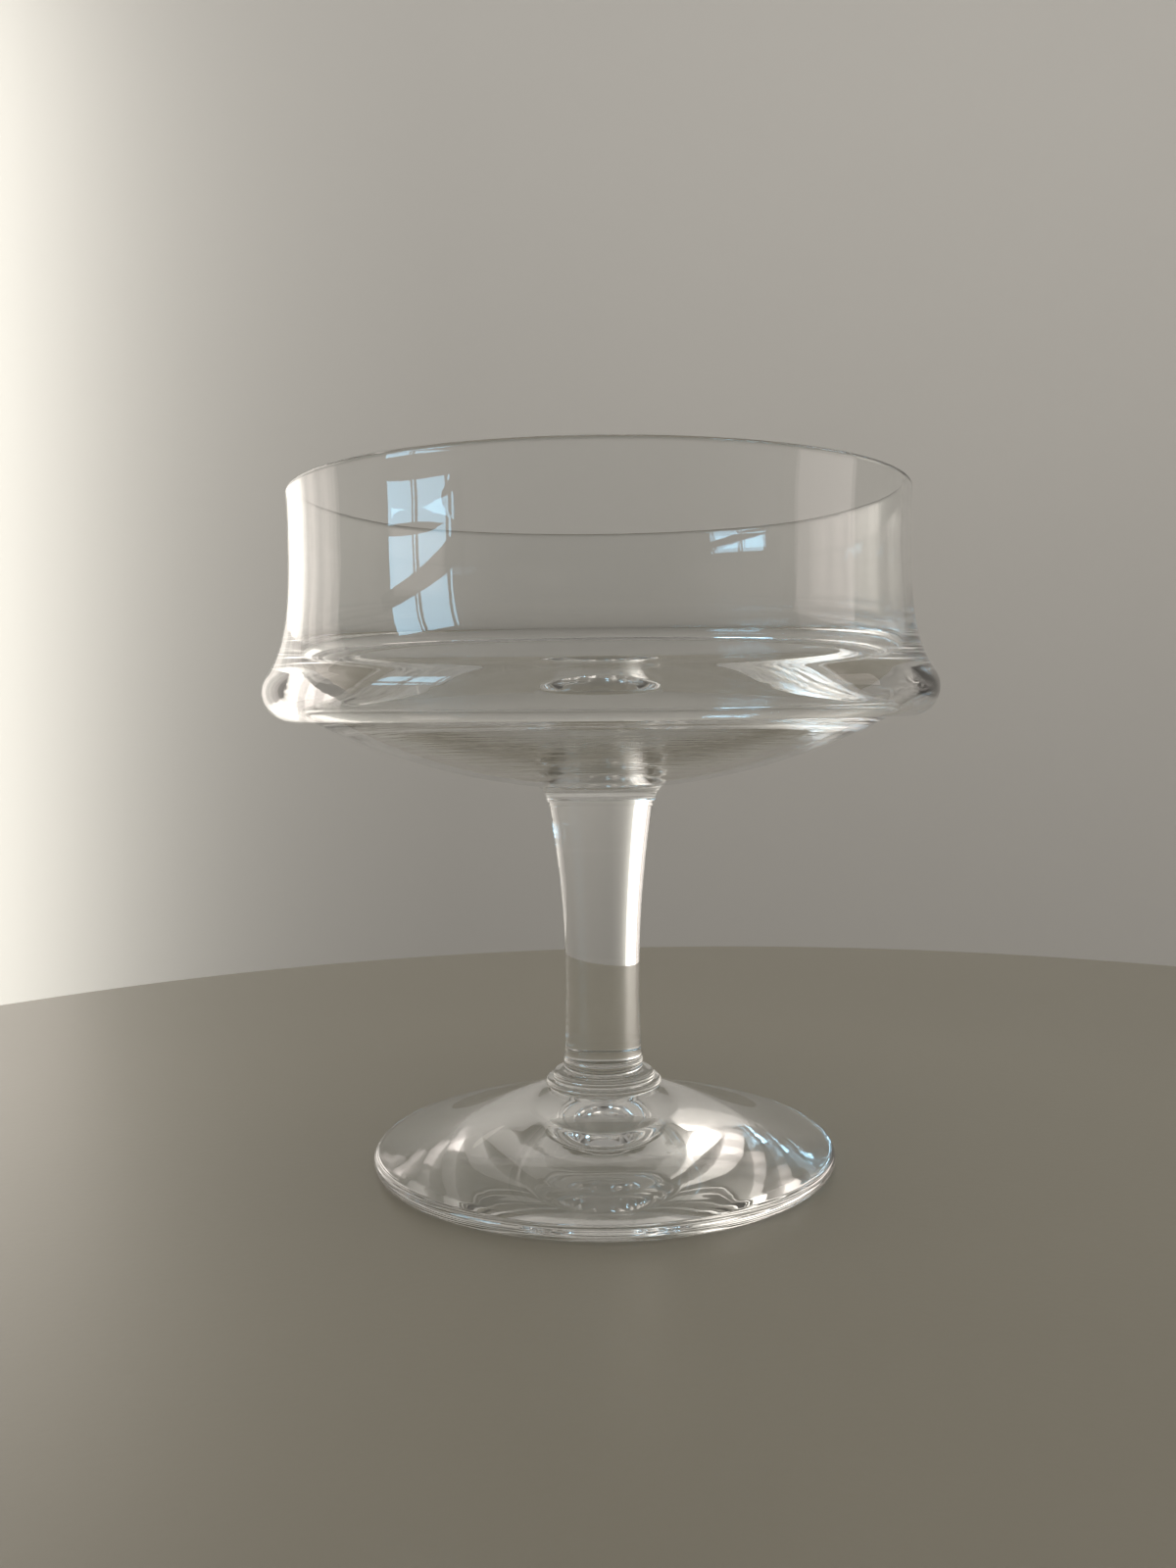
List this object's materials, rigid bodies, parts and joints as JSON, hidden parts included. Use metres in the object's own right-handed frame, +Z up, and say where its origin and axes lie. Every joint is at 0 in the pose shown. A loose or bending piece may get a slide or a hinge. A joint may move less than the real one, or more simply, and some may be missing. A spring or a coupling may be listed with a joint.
{
  "type": "stemmed cocktail glass",
  "caption": "Clear stemmed glass with a wide shallow bowl, waisted wall and swollen hip, on a solid flared stem and a spread foot, for serving cocktails.",
  "frame": {"origin": "on the glass's own axis, on the surface that the foot stands on", "axes": "+Z up along the stem, from the foot to the rim; the glass is round, so X and Y are alike"},
  "size_m": [0.1, 0.1, 0.1005],
  "materials": {
    "bowl_glass": "clear, fire-polished",
    "stem_glass": "clear, fire-polished",
    "foot_glass": "clear, fire-polished, with a ground and polished pontil mark underneath"
  },
  "bodies": {
    "root": {"foot": "foot_glass", "disc_ring": "stem_glass", "stem_ring": "stem_glass", "stem": "stem_glass", "collar": "stem_glass", "bowl": "bowl_glass"}
  },
  "joints": []
}
